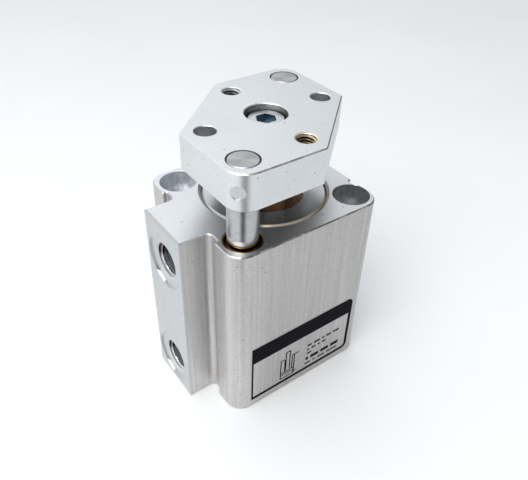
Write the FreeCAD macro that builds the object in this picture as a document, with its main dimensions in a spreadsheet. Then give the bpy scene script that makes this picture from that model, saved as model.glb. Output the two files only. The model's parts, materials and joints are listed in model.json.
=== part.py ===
import FreeCAD, Part
import math
import os
import Sketcher

# A compact guided pneumatic cylinder: an aluminium block with a 32 mm bore, a double-acting piston,
# two guide rods and a tool plate that the rods and the piston rod carry together.
# Millimetres. +Z points along the piston rod, towards the tool plate. The origin is on the piston's
# axis, in the plane of the block's bottom face. The two ports are on the -X face and the rating
# label is on the -Y face. The moving pieces are drawn with the plate 12.5 mm above the block.

DRIVING_SIZES = {
    # block, seen from above
    "body_height": 58.5,
    "body_left": 24.5,
    "body_right": 23.5,
    "body_half_depth": 22.5,
    "body_corner_radius": 5.0,
    "port_face": 32.0,
    "port_block_half": 9.0,
    "left_neck": 23.2,
    "left_lug_start": 13.0,
    "right_neck": 22.3,
    "right_block_half": 10.2,
    "right_lug_start": 13.3,
    "block_root_radius": 1.7,
    "neck_radius": 0.55,
    "edge_break": 0.3,
    # main bore and the counterbores that hold the covers
    "bore_radius": 16.0,
    "cover_bore_radius": 17.5,
    "bore_mouth_radius": 18.2,
    "ring_groove_radius": 18.15,
    "ring_groove_width": 1.4,
    "ring_wire_radius": 0.69,
    "ring_gap_angle": 24.0,
    "rear_shoulder": 7.0,
    "rear_ring_bottom": 1.8,
    "front_shoulder": 49.5,
    "front_ring_bottom": 55.4,
    # guide rods and their bushes
    "guide_across": 18.0,
    "guide_along": 16.0,
    "guide_rod_radius": 4.0,
    "guide_rod_bottom": 8.5,
    "guide_rod_chamfer": 0.4,
    "guide_bush_bore": 4.05,
    "guide_bush_radius": 5.25,
    "guide_passage_radius": 4.6,
    "guide_recess_radius": 4.85,
    "guide_recess_depth": 1.6,
    "guide_bush_sink": 0.25,
    "upper_bush_bottom": 46.5,
    "lower_bush_bottom": 27.0,
    "lower_bush_top": 37.0,
    # mounting holes through the block
    "mount_hole_radius": 3.3,
    "mount_counterbore_radius": 5.2,
    "mount_counterbore_depth": 5.7,
    # air ports
    "port_low": 9.5,
    "port_high": 47.0,
    "port_thread_radius": 4.86,
    "port_depth": 8.0,
    "port_chamfer": 0.5,
    "spotface_rim_radius": 8.2,
    "spotface_floor_radius": 7.4,
    "spotface_depth": 0.5,
    "passage_radius": 1.5,
    "passage_low": 9.6,
    "passage_high": 46.9,
    # covers
    "cover_radius": 17.3,
    "cover_chamfer": 0.5,
    "cover_groove_floor": 16.7,
    "cover_sink": 0.3,
    "o_ring_radius": 0.9,
    "o_ring_groove_floor": 15.7,
    "o_ring_groove_width": 2.2,
    "front_o_ring_bottom": 51.4,
    "rear_o_ring_bottom": 4.2,
    "rear_cover_sink": 0.8,
    "rod_recess_radius": 11.0,
    "rod_recess_chamfer": 0.35,
    "rod_recess_floor": 56.0,
    "rod_bush_flange_radius": 10.85,
    "rod_bush_flange_top": 57.3,
    "rod_bush_radius": 8.0,
    "rod_bush_bore": 6.05,
    "rod_seal_top": 53.0,
    "rod_seal_radius": 9.5,
    "rod_seal_depth": 3.0,
    "bumper_thickness": 1.0,
    "bumper_inner": 7.6,
    "bumper_outer": 12.6,
    # piston, drawn with its lower face 15.55 mm above the block's bottom face
    "piston_bottom": 15.55,
    "piston_length": 15.4,
    "piston_radius": 15.8,
    "piston_nose_radius": 13.0,
    "piston_nose_length": 3.0,
    "slide_radius": 15.95,
    "seal_groove_floor": 13.2,
    "seal_groove_width": 2.1,
    "seal_groove_offset": 3.8,
    "seal_lip_notch": 0.8,
    "magnet_inner": 10.5,
    "magnet_outer": 13.7,
    "magnet_length": 2.5,
    "wear_ring_inner": 14.2,
    "nut_recess_radius": 7.9,
    "nut_recess_depth": 4.2,
    "nut_across_flats": 13.0,
    "nut_thickness": 4.0,
    # piston rod
    "rod_radius": 6.0,
    "rod_spigot_radius": 4.0,
    "rod_end_chamfer": 0.5,
    "rod_tapped_depth": 14.0,
    # tool plate
    "plate_bottom": 71.0,
    "plate_thickness": 10.0,
    "plate_half_width": 23.75,
    "plate_half_depth": 22.5,
    "plate_corner_radius": 5.5,
    "plate_cut_side": 2.4,
    "plate_cut_edge": 1.1,
    "plate_thread_radius": 2.5,
    "plate_thread_along": 16.0,
    "plate_thread_chamfer": 0.25,
    "plate_hole_radius": 2.75,
    "plate_hole_across": 18.0,
    "plate_hole_chamfer": 0.2,
    "plate_counterbore_radius": 5.65,
    "plate_counterbore_depth": 7.5,
    "plate_counterbore_chamfer": 0.2,
    "plate_screw_clearance": 3.3,
    # plate screw: M6 cap screw
    "screw_thread_radius": 3.0,
    "screw_length": 14.0,
    "screw_head_radius": 5.0,
    "screw_head_height": 6.0,
    "screw_head_chamfer": 0.4,
    "screw_hex_flats": 5.0,
    "screw_hex_depth": 2.2,
    # pins that lock the guide rods in the plate
    "pin_radius": 1.9,
    "pin_inner": 1.0,
    "pin_length": 4.95,
    "pin_drill_length": 8.0,
    # rating label
    "label_left": 19.1,
    "label_right": 18.5,
    "label_bottom": 2.7,
    "label_top": 24.6,
    "label_thickness": 0.08,
    "label_corner_radius": 2.0,
}

VOLUME_TOLERANCE = 0.001
POINT_TOLERANCE = 0.01
HORIZONTAL_AXIS = -1
VERTICAL_AXIS = -2
ROOT_POINT = 1
CIRCLE_CENTRE = 3
HEX_SIDES = 6

# The guide rods stand on one diagonal and the mounting holes on the other.
GUIDE_PLACES = {"left": ("-Sizes.guide_across", "-Sizes.guide_along"),
                "right": ("Sizes.guide_across", "Sizes.guide_along")}
MOUNT_PLACES = (("Sizes.guide_across", "-Sizes.guide_along"),
                ("-Sizes.guide_across", "Sizes.guide_along"))
GUIDE_PIN_ANGLES = {"left": 225.0, "right": 45.0}

doc = FreeCAD.newDocument("GuidedCylinder")


def make_sheet():
    """Writes every driving dimension into the document's spreadsheet."""
    sheet = doc.addObject("Spreadsheet::Sheet", "Sizes")
    for row, (alias, number) in enumerate(DRIVING_SIZES.items(), start=1):
        sheet.set(f"A{row}", alias)
        sheet.set(f"B{row}", str(number))
        sheet.setAlias(f"B{row}", alias)
    doc.recompute()
    return sheet


sizes = make_sheet()


def measure(expression):
    """The present value of an expression in the sheet's aliases."""
    return float(sizes.evalExpression(expression))


def new_body(label):
    body = doc.addObject("PartDesign::Body", label)
    body.Label = label
    return body


def origin_plane(body, role):
    return next(item for item in body.Origin.OriginFeatures if item.Role == role)


def attach(feature, body, role, lift="0"):
    """Lays a sketch or primitive on one of the body's own origin planes, lifted along its normal."""
    feature.AttachmentSupport = (origin_plane(body, role), [""])
    feature.MapMode = "FlatFace"
    feature.setExpression("AttachmentOffset.Base.z", lift)


def new_sketch(body, name, role, lift="0"):
    sketch = body.newObject("Sketcher::SketchObject", name)
    attach(sketch, body, role, lift)
    return sketch


def tie_point(sketch, geometry, vertex, across, up):
    """Holds a sketch point at two expressions, or on an axis where one of them is zero."""
    for kind, zero_axis, expression in (("DistanceX", VERTICAL_AXIS, across), ("DistanceY", HORIZONTAL_AXIS, up)):
        if expression == "0":
            sketch.addConstraint(Sketcher.Constraint("PointOnObject", geometry, vertex, zero_axis))
            continue
        distance = Sketcher.Constraint(kind, HORIZONTAL_AXIS, ROOT_POINT, geometry, vertex, measure(expression))
        index = sketch.addConstraint(distance)
        sketch.setExpression(f"Constraints[{index}]", expression)


def draw_outline(sketch, corners):
    """A closed outline of straight lines, each corner given as two expressions."""
    points = [FreeCAD.Vector(measure(across), measure(up), 0) for across, up in corners]
    count = len(points)
    for number, point in enumerate(points):
        sketch.addGeometry(Part.LineSegment(point, points[(number + 1) % count]), False)
    for number in range(count):
        sketch.addConstraint(Sketcher.Constraint("Coincident", number, 2, (number + 1) % count, 1))
    for number, (across, up) in enumerate(corners):
        tie_point(sketch, number, 1, across, up)


def draw_circles(sketch, centres, radius):
    """Circles of one radius, each centre given as two expressions."""
    for across, up in centres:
        centre = FreeCAD.Vector(measure(across), measure(up), 0)
        circle = Part.Circle(centre, FreeCAD.Vector(0, 0, 1), measure(radius))
        geometry = sketch.addGeometry(circle, False)
        tie_point(sketch, geometry, CIRCLE_CENTRE, across, up)
        index = sketch.addConstraint(Sketcher.Constraint("Radius", geometry, measure(radius)))
        sketch.setExpression(f"Constraints[{index}]", radius)


def require_less(body, before, name):
    """Stops if a cut took nothing away."""
    doc.recompute()
    if body.Shape.Volume > before - VOLUME_TOLERANCE:
        raise RuntimeError(f"{name} cut nothing from {body.Label}")


def pad(body, name, corners, length, lift="0"):
    """A prism on the XY plane."""
    sketch = new_sketch(body, f"{name}_sketch", "XY_Plane", lift)
    draw_outline(sketch, corners)
    feature = body.newObject("PartDesign::Pad", name)
    feature.Profile = sketch
    feature.setExpression("Length", length)
    doc.recompute()
    return feature


def drill(body, name, role, centres, radius, start, length):
    """Round holes that start at a height above an origin plane and run along its normal."""
    before = body.Shape.Volume
    sketch = new_sketch(body, f"{name}_sketch", role, start)
    draw_circles(sketch, centres, radius)
    feature = body.newObject("PartDesign::Pocket", name)
    feature.Profile = sketch
    feature.Reversed = True
    feature.setExpression("Length", length)
    require_less(body, before, name)
    return feature


def revolve(body, name, profile, kind="PartDesign::Revolution"):
    """Turns a half profile of radius and height expressions about the Z axis."""
    sketch = new_sketch(body, f"{name}_sketch", "XZ_Plane")
    draw_outline(sketch, profile)
    feature = body.newObject(kind, name)
    feature.Profile = sketch
    feature.ReferenceAxis = (sketch, ["V_Axis"])
    feature.Angle = 360.0
    doc.recompute()
    return feature


def turned(label, profile, across="0", along="0", up="0"):
    """A body turned about its own Z axis and placed by expressions."""
    body = new_body(label)
    revolve(body, f"{label}_turning", profile)
    place(body, across, along, up)
    return body


def place(item, across="0", along="0", up="0"):
    item.setExpression("Placement.Base.x", across)
    item.setExpression("Placement.Base.y", along)
    item.setExpression("Placement.Base.z", up)
    doc.recompute()


def ring_profile(inner, outer, length):
    return ((inner, "0"), (outer, "0"), (outer, length), (inner, length))


def upright_edges(shape, corners):
    """Names of the straight vertical edges that stand on the given plan corners."""
    names = []
    for number, edge in enumerate(shape.Edges, start=1):
        middle = edge.valueAt((edge.FirstParameter + edge.LastParameter) / 2)
        upright = abs(edge.tangentAt(edge.FirstParameter).z) > 1 - POINT_TOLERANCE
        for across, along in corners:
            offset = math.hypot(middle.x - measure(across), middle.y - measure(along))
            if upright and offset < POINT_TOLERANCE:
                names.append(f"Edge{number}")
    return names


def level_edges(shape, heights):
    """Names of the edges that lie wholly at one of the given heights."""
    names = []
    for number, edge in enumerate(shape.Edges, start=1):
        box = edge.BoundBox
        for height in heights:
            if max(abs(box.ZMin - height), abs(box.ZMax - height)) < POINT_TOLERANCE:
                names.append(f"Edge{number}")
    return names


def round_edges(shape, radius):
    """Names of the circular edges with the given radius."""
    names = []
    for number, edge in enumerate(shape.Edges, start=1):
        if isinstance(edge.Curve, Part.Circle) and abs(edge.Curve.Radius - radius) < POINT_TOLERANCE:
            names.append(f"Edge{number}")
    return names


def dress(body, kind, name, edges, size):
    """A fillet or chamfer on the named edges of the body's latest feature."""
    base = body.Tip
    if not edges:
        raise RuntimeError(f"{name} found no edges")
    feature = body.newObject(f"PartDesign::{kind}", name)
    feature.Base = (base, edges)
    feature.setExpression("Radius" if kind == "Fillet" else "Size", size)
    doc.recompute()
    return feature


def both_sides(across, along):
    """A plan corner and its mirror image behind the XZ plane."""
    return [(across, f"-{along}"), (across, along)]


def barrel_plan(body):
    """The block's outline: a port block on the left, shallow necks, and four rounded lugs."""
    front = [("-Sizes.body_left", "-Sizes.body_half_depth"), ("Sizes.body_right", "-Sizes.body_half_depth"),
             ("Sizes.body_right", "-Sizes.right_lug_start"), ("Sizes.right_neck", "-Sizes.right_lug_start"),
             ("Sizes.right_neck", "-Sizes.right_block_half"), ("Sizes.body_right", "-Sizes.right_block_half")]
    left = [("-Sizes.port_face", "-Sizes.port_block_half"), ("-Sizes.left_neck", "-Sizes.port_block_half"),
            ("-Sizes.left_neck", "-Sizes.left_lug_start"), ("-Sizes.body_left", "-Sizes.left_lug_start")]
    back = [(across, along[1:]) for across, along in reversed(front)]
    left_back = [(across, along[1:]) for across, along in reversed(left)]
    pad(body, "block", front + back + left_back + left, "Sizes.body_height")


def barrel_edges(body):
    """Rounds the block's upright edges, then breaks the edges of its top and bottom."""
    lugs = both_sides("-Sizes.body_left", "Sizes.body_half_depth")
    lugs += both_sides("Sizes.body_right", "Sizes.body_half_depth")
    dress(body, "Fillet", "lug_corners", upright_edges(body.Shape, lugs), "Sizes.body_corner_radius")
    roots = both_sides("-Sizes.left_neck", "Sizes.port_block_half")
    dress(body, "Fillet", "port_block_roots", upright_edges(body.Shape, roots), "Sizes.block_root_radius")
    necks = both_sides("-Sizes.left_neck", "Sizes.left_lug_start")
    necks += both_sides("-Sizes.body_left", "Sizes.left_lug_start")
    necks += both_sides("Sizes.body_right", "Sizes.right_lug_start")
    necks += both_sides("Sizes.right_neck", "Sizes.right_lug_start")
    necks += both_sides("Sizes.right_neck", "Sizes.right_block_half")
    necks += both_sides("Sizes.body_right", "Sizes.right_block_half")
    dress(body, "Fillet", "neck_edges", upright_edges(body.Shape, necks), "Sizes.neck_radius")
    ends = level_edges(body.Shape, (0.0, measure("Sizes.body_height")))
    dress(body, "Chamfer", "end_edges", ends, "Sizes.edge_break")


def barrel_bore(body):
    """Cuts the piston bore, both cover seats with their ring grooves, and the bore mouths."""
    before = body.Shape.Volume
    seat = "Sizes.cover_bore_radius"
    mouth = "Sizes.bore_mouth_radius"
    groove = "Sizes.ring_groove_radius"
    lead = "Sizes.bore_mouth_radius - Sizes.cover_bore_radius"
    rear_ring = "Sizes.rear_ring_bottom"
    rear_ring_top = "Sizes.rear_ring_bottom + Sizes.ring_groove_width"
    front_ring = "Sizes.front_ring_bottom"
    front_ring_top = "Sizes.front_ring_bottom + Sizes.ring_groove_width"
    top = "Sizes.body_height"
    profile = [("0", "0"), (mouth, "0"), (seat, lead), (seat, rear_ring), (groove, rear_ring),
               (groove, rear_ring_top), (seat, rear_ring_top), (seat, "Sizes.rear_shoulder"),
               ("Sizes.bore_radius", "Sizes.rear_shoulder"), ("Sizes.bore_radius", "Sizes.front_shoulder"),
               (seat, "Sizes.front_shoulder"), (seat, front_ring), (groove, front_ring),
               (groove, front_ring_top), (seat, front_ring_top), (seat, f"{top} - ({lead})"),
               (mouth, top), ("0", top)]
    revolve(body, "bore", profile, "PartDesign::Groove")
    require_less(body, before, "bore")


def spotface(body, name, across, up):
    """A shallow round recess with a sloping rim, sunk into the port face."""
    before = body.Shape.Volume
    recess = body.newObject("PartDesign::SubtractiveCone", name)
    attach(recess, body, "YZ_Plane", "-Sizes.port_face")
    recess.setExpression("AttachmentOffset.Base.x", across)
    recess.setExpression("AttachmentOffset.Base.y", up)
    recess.setExpression("Radius1", "Sizes.spotface_rim_radius")
    recess.setExpression("Radius2", "Sizes.spotface_floor_radius")
    recess.setExpression("Height", "Sizes.spotface_depth")
    require_less(body, before, name)


def barrel_holes(body):
    """Drills the guide rod bores, the mounting holes and the two ports with their air passages."""
    guides = list(GUIDE_PLACES.values())
    top = "Sizes.body_height"
    drill(body, "guide_passages", "XY_Plane", guides, "Sizes.guide_passage_radius", "0", top)
    drill(body, "lower_bush_bores", "XY_Plane", guides, "Sizes.guide_bush_radius", "0", "Sizes.lower_bush_top")
    drill(body, "upper_bush_bores", "XY_Plane", guides, "Sizes.guide_bush_radius",
          "Sizes.upper_bush_bottom", f"{top} - Sizes.upper_bush_bottom")
    drill(body, "mounting_holes", "XY_Plane", MOUNT_PLACES, "Sizes.mount_hole_radius", "0", top)
    drill(body, "mounting_counterbores", "XY_Plane", MOUNT_PLACES, "Sizes.mount_counterbore_radius",
          f"{top} - Sizes.mount_counterbore_depth", "Sizes.mount_counterbore_depth")
    ports = [("0", "Sizes.port_low"), ("0", "Sizes.port_high")]
    for name, (across, up) in zip(("low", "high"), ports):
        spotface(body, f"spotface_{name}", across, up)
    drill(body, "ports", "YZ_Plane", ports, "Sizes.port_thread_radius", "-Sizes.port_face", "Sizes.port_depth")
    passages = [("0", "Sizes.passage_low"), ("0", "Sizes.passage_high")]
    drill(body, "air_passages", "YZ_Plane", passages, "Sizes.passage_radius",
          "Sizes.port_depth - Sizes.port_face", "Sizes.port_face - Sizes.port_depth - Sizes.piston_nose_radius")
    mouths = [name for name in round_edges(body.Shape, measure("Sizes.port_thread_radius"))
              if body.Shape.getElement(name).CenterOfMass.x < -measure("Sizes.port_face - 1")]
    dress(body, "Chamfer", "port_chamfers", mouths, "Sizes.port_chamfer")


def make_barrel():
    body = new_body("barrel")
    barrel_plan(body)
    barrel_edges(body)
    barrel_bore(body)
    barrel_holes(body)
    return body


def retaining_ring(label, groove_bottom):
    """An open ring of round wire that locks a cover in the block."""
    ring = doc.addObject("Part::Torus", label)
    ring.Label = label
    ring.setExpression("Radius1", "(Sizes.ring_groove_radius + Sizes.cover_groove_floor) / 2")
    ring.setExpression("Radius2", "Sizes.ring_wire_radius")
    ring.setExpression("Angle3", "360 - Sizes.ring_gap_angle")
    place(ring, up=f"{groove_bottom} + Sizes.ring_groove_width / 2")
    return ring


def o_ring(label, groove_bottom):
    """A round rubber ring that seals a cover against the block."""
    ring = doc.addObject("Part::Torus", label)
    ring.Label = label
    ring.setExpression("Radius1", "Sizes.o_ring_groove_floor + Sizes.o_ring_radius")
    ring.setExpression("Radius2", "Sizes.o_ring_radius")
    place(ring, up=f"{groove_bottom} + Sizes.o_ring_groove_width / 2")
    return ring


def cover_rim(bottom, o_ring_bottom, ring_bottom, top):
    """The cover's outside from bottom to top, through its O-ring groove and its ring groove."""
    outside = "Sizes.cover_radius"
    grooves = [(outside, bottom)]
    steps = [(o_ring_bottom, "Sizes.o_ring_groove_width", "Sizes.o_ring_groove_floor"),
             (ring_bottom, "Sizes.ring_groove_width", "Sizes.cover_groove_floor")]
    for start, width, floor in sorted(steps, key=lambda step: measure(step[0])):
        end = f"{start} + {width}"
        grooves += [(outside, start), (floor, start), (floor, end), (outside, end)]
    return grooves + [(outside, top)]


def make_front_cover():
    """The upper cover: a recess for the rod bush above a pocket for the rod seal."""
    top = "Sizes.body_height - Sizes.cover_sink"
    rim = cover_rim("Sizes.front_shoulder", "Sizes.front_o_ring_bottom", "Sizes.front_ring_bottom",
                    f"{top} - Sizes.cover_chamfer")
    recess = "Sizes.rod_recess_radius"
    profile = [("Sizes.rod_seal_radius", "Sizes.front_shoulder")] + rim
    profile += [("Sizes.cover_radius - Sizes.cover_chamfer", top), (f"{recess} + Sizes.rod_recess_chamfer", top),
                (recess, f"{top} - Sizes.rod_recess_chamfer"), (recess, "Sizes.rod_recess_floor"),
                ("Sizes.rod_bush_radius", "Sizes.rod_recess_floor"),
                ("Sizes.rod_bush_radius", "Sizes.rod_seal_top"), ("Sizes.rod_seal_radius", "Sizes.rod_seal_top")]
    return turned("front_cover", profile)


def make_rear_cover():
    """The lower cover, a plain disc."""
    rim = cover_rim("Sizes.rear_cover_sink + Sizes.cover_chamfer", "Sizes.rear_o_ring_bottom",
                    "Sizes.rear_ring_bottom", "Sizes.rear_shoulder")
    profile = [("0", "Sizes.rear_cover_sink"), ("Sizes.cover_radius - Sizes.cover_chamfer", "Sizes.rear_cover_sink")]
    return turned("rear_cover", profile + rim + [("0", "Sizes.rear_shoulder")])


def make_rod_bush():
    """A flanged bronze bush that guides the piston rod in the front cover."""
    flange_top = "Sizes.rod_bush_flange_top"
    profile = (("Sizes.rod_bush_bore", "Sizes.rod_seal_top"), ("Sizes.rod_bush_radius", "Sizes.rod_seal_top"),
               ("Sizes.rod_bush_radius", "Sizes.rod_recess_floor"),
               ("Sizes.rod_bush_flange_radius", "Sizes.rod_recess_floor"),
               ("Sizes.rod_bush_flange_radius", flange_top), ("Sizes.rod_bush_bore", flange_top))
    return turned("rod_bush", profile)


def make_rod_seal():
    """A lip seal under the rod bush, with its notch towards the air side."""
    inner = "Sizes.rod_bush_bore"
    outer = "Sizes.rod_seal_radius"
    middle = f"({inner} + {outer}) / 2"
    notch = "Sizes.seal_lip_notch"
    depth = "Sizes.rod_seal_depth"
    profile = ((inner, "0"), (f"{middle} - {notch}", "0"), (middle, notch), (f"{middle} + {notch}", "0"),
               (outer, "0"), (outer, depth), (inner, depth))
    return turned("rod_seal", profile, up=f"Sizes.rod_seal_top - {depth}")


def make_bumpers():
    """Rubber washers that stop the piston against each cover."""
    profile = ring_profile("Sizes.bumper_inner", "Sizes.bumper_outer", "Sizes.bumper_thickness")
    front = turned("front_bumper", profile, up="Sizes.front_shoulder - Sizes.bumper_thickness")
    rear = turned("rear_bumper", profile, up="Sizes.rear_shoulder")
    return [front, rear]


def make_guide_bushes():
    """Bronze bushes for the guide rods, an upper and a lower one in each guide bore."""
    bore = "Sizes.guide_bush_bore"
    outer = "Sizes.guide_bush_radius"
    recess = "Sizes.guide_recess_radius"
    upper_length = "(Sizes.body_height - Sizes.guide_bush_sink - Sizes.upper_bush_bottom)"
    recess_floor = f"{upper_length} - Sizes.guide_recess_depth"
    upper = ((bore, "0"), (outer, "0"), (outer, upper_length), (recess, upper_length),
             (recess, recess_floor), (bore, recess_floor))
    lower = ring_profile(bore, outer, "Sizes.lower_bush_top - Sizes.lower_bush_bottom")
    bushes = []
    for side, (across, along) in GUIDE_PLACES.items():
        bushes.append(turned(f"upper_guide_bush_{side}", upper, across, along, "Sizes.upper_bush_bottom"))
        bushes.append(turned(f"lower_guide_bush_{side}", lower, across, along, "Sizes.lower_bush_bottom"))
    return bushes


def make_label():
    """A thin foil on the -Y face, with its two right-hand corners rounded."""
    body = new_body("rating_label")
    face = "-Sizes.body_half_depth"
    outside = "-Sizes.body_half_depth - Sizes.label_thickness"
    outline = [("-Sizes.label_left", outside), ("Sizes.label_right", outside),
               ("Sizes.label_right", face), ("-Sizes.label_left", face)]
    pad(body, "foil", outline, "Sizes.label_top - Sizes.label_bottom", "Sizes.label_bottom")
    corners = []
    for number, edge in enumerate(body.Shape.Edges, start=1):
        across_foil = abs(edge.tangentAt(edge.FirstParameter).y) > 1 - POINT_TOLERANCE
        if across_foil and edge.CenterOfMass.x > 0:
            corners.append(f"Edge{number}")
    dress(body, "Fillet", "foil_corners", corners, "Sizes.label_corner_radius")
    return body


def piston_half(label, flip):
    """Half of the piston: a nose, a land with a seal groove, and half of the magnet's cavity."""
    land = "Sizes.piston_radius"
    nose = "Sizes.piston_nose_radius"
    floor = "Sizes.seal_groove_floor"
    groove = "Sizes.seal_groove_offset"
    groove_end = "Sizes.seal_groove_offset + Sizes.seal_groove_width"
    middle = "Sizes.piston_length / 2"
    cavity = "(Sizes.piston_length - Sizes.magnet_length) / 2"
    inner = "Sizes.rod_spigot_radius"
    end = "Sizes.nut_recess_radius"
    outside = [(nose, "0"), (nose, "Sizes.piston_nose_length"), (land, "Sizes.piston_nose_length"),
               (land, groove), (floor, groove), (floor, groove_end), (land, groove_end), (land, cavity),
               ("Sizes.magnet_inner", cavity), ("Sizes.magnet_inner", middle), (inner, middle)]
    if flip:
        body = turned(label, [(inner, "0")] + outside, up="Sizes.piston_bottom + Sizes.piston_length")
        body.Placement.Rotation = FreeCAD.Rotation(FreeCAD.Vector(1, 0, 0), 180)
    else:
        recess = [(inner, "Sizes.nut_recess_depth"), (end, "Sizes.nut_recess_depth"), (end, "0")]
        body = turned(label, recess + outside, up="Sizes.piston_bottom")
    doc.recompute()
    return body


def piston_seal(label, bottom, flip):
    """A lip seal whose notch faces the chamber that it closes."""
    inner = "Sizes.seal_groove_floor"
    outer = "Sizes.slide_radius"
    width = "Sizes.seal_groove_width"
    middle = f"({inner} + {outer}) / 2"
    notch = "Sizes.seal_lip_notch"
    profile = ((inner, "0"), (f"{middle} - {notch}", "0"), (middle, notch), (f"{middle} + {notch}", "0"),
               (outer, "0"), (outer, width), (inner, width))
    body = turned(label, profile, up=bottom)
    if flip:
        body.Placement.Rotation = FreeCAD.Rotation(FreeCAD.Vector(1, 0, 0), 180)
    doc.recompute()
    return body


def make_piston():
    """Both piston halves, the seals, the magnet, the wear ring over it, and the nut that clamps them."""
    bottom = "Sizes.piston_bottom"
    cavity = "(Sizes.piston_length - Sizes.magnet_length) / 2"
    rear = piston_half("piston_rear", flip=False)
    front = piston_half("piston_front", flip=True)
    seal_rear = piston_seal("piston_seal_rear", f"{bottom} + Sizes.seal_groove_offset", flip=False)
    seal_front = piston_seal("piston_seal_front", f"{bottom} + Sizes.piston_length - Sizes.seal_groove_offset",
                             flip=True)
    magnet = turned("magnet_ring", ring_profile("Sizes.magnet_inner", "Sizes.magnet_outer", "Sizes.magnet_length"),
                    up=f"{bottom} + {cavity}")
    wear_ring = turned("piston_wear_ring",
                       ring_profile("Sizes.wear_ring_inner", "Sizes.slide_radius", "Sizes.magnet_length"),
                       up=f"{bottom} + {cavity}")
    nut = new_body("piston_nut")
    hexagon = nut.newObject("PartDesign::AdditivePrism", "nut_hexagon")
    attach(hexagon, nut, "XY_Plane")
    hexagon.Polygon = HEX_SIDES
    hexagon.setExpression("Circumradius", "Sizes.nut_across_flats / sqrt(3)")
    hexagon.setExpression("Height", "Sizes.nut_thickness")
    doc.recompute()
    drill(nut, "nut_bore", "XY_Plane", [("0", "0")], "Sizes.rod_spigot_radius", "0", "Sizes.nut_thickness")
    place(nut, up=f"{bottom} + Sizes.nut_recess_depth - Sizes.nut_thickness")
    return [rear, front, seal_rear, seal_front, magnet, wear_ring, nut]


def make_piston_rod():
    """The rod, with a spigot through the piston and a tapped hole for the plate screw."""
    start = "Sizes.nut_recess_depth - Sizes.nut_thickness"
    shoulder = "Sizes.piston_length"
    top = "Sizes.plate_bottom - Sizes.piston_bottom"
    spigot = "Sizes.rod_spigot_radius"
    rod = "Sizes.rod_radius"
    chamfer = "Sizes.rod_end_chamfer"
    tapped = "Sizes.screw_thread_radius"
    tap_floor = f"{top} - Sizes.rod_tapped_depth"
    profile = (("0", start), (f"{spigot} - {chamfer}", start), (spigot, f"{start} + {chamfer}"),
               (spigot, shoulder), (rod, shoulder), (rod, f"{top} - {chamfer}"), (f"{rod} - {chamfer}", top),
               (tapped, top), (tapped, tap_floor), ("0", f"{tap_floor} - {tapped}"))
    return turned("piston_rod", profile, up="Sizes.piston_bottom")


def make_guide_rods():
    """Ground rods that run from the block up through the plate, each with a cross hole for its pin."""
    length = "(Sizes.plate_bottom + Sizes.plate_thickness - Sizes.guide_rod_bottom)"
    radius = "Sizes.guide_rod_radius"
    chamfer = "Sizes.guide_rod_chamfer"
    profile = (("0", "0"), (f"{radius} - {chamfer}", "0"), (radius, chamfer), (radius, f"{length} - {chamfer}"),
               (f"{radius} - {chamfer}", length), ("0", length))
    rods = []
    for side, (across, along) in GUIDE_PLACES.items():
        rod = turned(f"guide_rod_{side}", profile, across, along, "Sizes.guide_rod_bottom")
        rod.Placement.Rotation = FreeCAD.Rotation(FreeCAD.Vector(0, 0, 1), GUIDE_PIN_ANGLES[side])
        drill(rod, f"pin_hole_{side}", "YZ_Plane", [("0", f"{length} - Sizes.plate_thickness / 2")],
              "Sizes.pin_radius", "Sizes.pin_inner", radius)
        rods.append(rod)
    return rods


def cross_placement(side):
    """The placement, on the YZ plane, of a cylinder that runs out from a guide rod's axis."""
    across, along = GUIDE_PLACES[side]
    middle = "Sizes.plate_bottom + Sizes.plate_thickness / 2"
    base = FreeCAD.Vector(measure(along), measure(middle), measure(across))
    return FreeCAD.Placement(base, FreeCAD.Rotation(FreeCAD.Vector(0, 1, 0), GUIDE_PIN_ANGLES[side]))


def make_pins():
    """The two radial pins, one node with two solids."""
    pins = []
    for side, (across, along) in GUIDE_PLACES.items():
        pin = doc.addObject("Part::Cylinder", f"pin_{side}")
        pin.setExpression("Radius", "Sizes.pin_radius")
        pin.setExpression("Height", "Sizes.pin_length")
        angle = math.radians(GUIDE_PIN_ANGLES[side])
        outward = FreeCAD.Vector(math.cos(angle), math.sin(angle), 0)
        pin.Placement.Rotation = FreeCAD.Rotation(FreeCAD.Vector(0, 0, 1), outward)
        place(pin, f"{across} + Sizes.pin_inner * {outward.x:.9f}", f"{along} + Sizes.pin_inner * {outward.y:.9f}",
              "Sizes.plate_bottom + Sizes.plate_thickness / 2")
        pins.append(pin)
    group = doc.addObject("Part::Compound", "guide_rod_pins")
    group.Label = "guide_rod_pins"
    group.Links = pins
    doc.recompute()
    return group


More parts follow.
